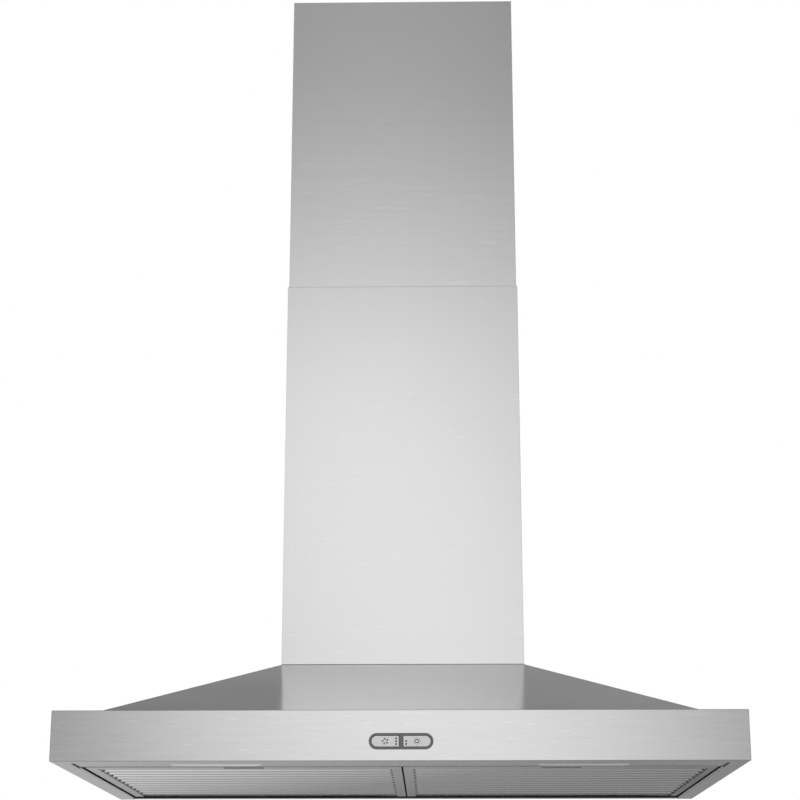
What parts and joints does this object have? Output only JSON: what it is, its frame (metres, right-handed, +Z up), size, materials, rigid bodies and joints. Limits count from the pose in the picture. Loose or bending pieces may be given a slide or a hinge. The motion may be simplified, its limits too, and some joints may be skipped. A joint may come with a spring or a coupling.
{
  "type": "chimney range hood",
  "caption": "Wall-mounted chimney range hood with sloped canopy, telescoping flue, hinged baffle filters, push buttons, lamps, blower and duct damper.",
  "frame": {"origin": "centre of the wall bracket's rear face, in the plane of the wall, 115 mm above the canopy's rim", "axes": "+X to the right of someone facing the hood, +Y into the wall, +Z up"},
  "size_m": [0.76, 0.5012, 1.045],
  "materials": {
    "brushed_steel": "brushed stainless steel, grain along the width",
    "galvanised_steel": "galvanised sheet, satin",
    "screw_steel": "zinc plated steel",
    "filter_aluminium": "pressed aluminium, bright satin",
    "latch_plastic": "black moulded plastic",
    "bezel_plastic": "grey painted plastic, satin",
    "button_plastic": "metallic grey plastic, satin",
    "lens_plastic": "frosted white plastic",
    "black_plastic": "black moulded plastic",
    "motor_case": "black painted pressed steel",
    "circuit_board": "green fibreglass board",
    "wheel_steel": "galvanised sheet",
    "terminal_plastic": "pale moulded plastic",
    "capacitor_can": "pale plastic can",
    "lead_jacket": "grey flexible jacket"
  },
  "bodies": {
    "hood": {"skirt": "brushed_steel", "canopy_top": "brushed_steel", "light_panel": "brushed_steel", "rear_rail": "brushed_steel", "lower_flue": "brushed_steel", "wall_bracket": "galvanised_steel", "back_panel": "galvanised_steel", "blower_box": "galvanised_steel", "scroll_wrap": "galvanised_steel", "scroll_side_left": "galvanised_steel", "scroll_side_right": "galvanised_steel", "motor_bracket": "galvanised_steel", "duct_adapter": "galvanised_steel", "wiring_box": "galvanised_steel", "wiring_cover": "galvanised_steel", "lower_flue_screw_left": "screw_steel", "lower_flue_screw_right": "screw_steel", "blower_screw_1": "screw_steel", "blower_screw_2": "screw_steel", "blower_screw_3": "screw_steel", "blower_screw_4": "screw_steel", "cover_screw_lower": "screw_steel", "cover_screw_upper": "screw_steel", "damper_rod": "screw_steel", "control_bezel": "bezel_plastic", "light_lens_left": "lens_plastic", "light_lens_right": "lens_plastic", "control_housing": "black_plastic", "light_housing_left": "black_plastic", "light_housing_right": "black_plastic", "cable_clamp": "black_plastic", "motor": "motor_case", "control_board": "circuit_board", "led_board_left": "circuit_board", "led_board_right": "circuit_board", "terminal_block": "terminal_plastic", "capacitor": "capacitor_can", "control_harness": "lead_jacket"},
    "upper_flue": {"upper_flue": "brushed_steel", "flue_bracket": "galvanised_steel", "flue_screw_left": "screw_steel", "flue_screw_right": "screw_steel"},
    "fan_button": {"fan_button": "button_plastic"},
    "light_button": {"light_button": "button_plastic"},
    "blower_wheel": {"blower_wheel": "wheel_steel", "motor_shaft": "screw_steel"},
    "damper_front": {"damper_flap_front": "filter_aluminium"},
    "damper_rear": {"damper_flap_rear": "filter_aluminium"},
    "filter_left": {"filter_frame_left": "filter_aluminium", "baffle_lower_left": "filter_aluminium", "baffle_upper_left": "filter_aluminium", "latch_spring_left": "screw_steel"},
    "latch_left": {"filter_latch_left": "latch_plastic"},
    "filter_right": {"filter_frame_right": "filter_aluminium", "baffle_lower_right": "filter_aluminium", "baffle_upper_right": "filter_aluminium", "latch_spring_right": "screw_steel"},
    "latch_right": {"filter_latch_right": "latch_plastic"}
  },
  "joints": [
    {"name": "upper_flue_slide", "type": "slide", "parent": "hood", "child": "upper_flue", "axis": [0, 0, 1], "range_m": [-0.38, 0.05]},
    {"name": "fan_button_press", "type": "slide", "parent": "hood", "child": "fan_button", "axis": [0, 1, 0], "range_m": [0, 0.0012], "stiffness_N_per_m": 600, "springref_m": -0.0005},
    {"name": "light_button_press", "type": "slide", "parent": "hood", "child": "light_button", "axis": [0, 1, 0], "range_m": [0, 0.0012], "stiffness_N_per_m": 600, "springref_m": -0.0005},
    {"name": "filter_left_hinge", "type": "hinge", "parent": "hood", "child": "filter_left", "pos_m": [-0.1765, -0.0195, -0.109], "axis": [1, 0, 0], "range_deg": [0, 70]},
    {"name": "latch_left_pull", "type": "slide", "parent": "filter_left", "child": "latch_left", "axis": [0, 1, 0], "range_m": [0, 0.004], "stiffness_N_per_m": 400, "springref_m": -0.001, "deforming": ["latch_spring_left"]},
    {"name": "filter_right_hinge", "type": "hinge", "parent": "hood", "child": "filter_right", "pos_m": [0.1805, -0.0195, -0.109], "axis": [1, 0, 0], "range_deg": [0, 70]},
    {"name": "latch_right_pull", "type": "slide", "parent": "filter_right", "child": "latch_right", "axis": [0, 1, 0], "range_m": [0, 0.004], "stiffness_N_per_m": 400, "springref_m": -0.001, "deforming": ["latch_spring_right"]},
    {"name": "blower_spin", "type": "hinge", "parent": "hood", "child": "blower_wheel", "pos_m": [0, -0.15, 0.1288], "axis": [1, 0, 0], "continuous": true},
    {"name": "damper_front_hinge", "type": "hinge", "parent": "hood", "child": "damper_front", "pos_m": [0, -0.103, 0.2971], "axis": [-1, 0, 0], "range_deg": [0, 75]},
    {"name": "damper_rear_hinge", "type": "hinge", "parent": "hood", "child": "damper_rear", "pos_m": [0, -0.103, 0.2971], "axis": [1, 0, 0], "range_deg": [0, 75]}
  ]
}
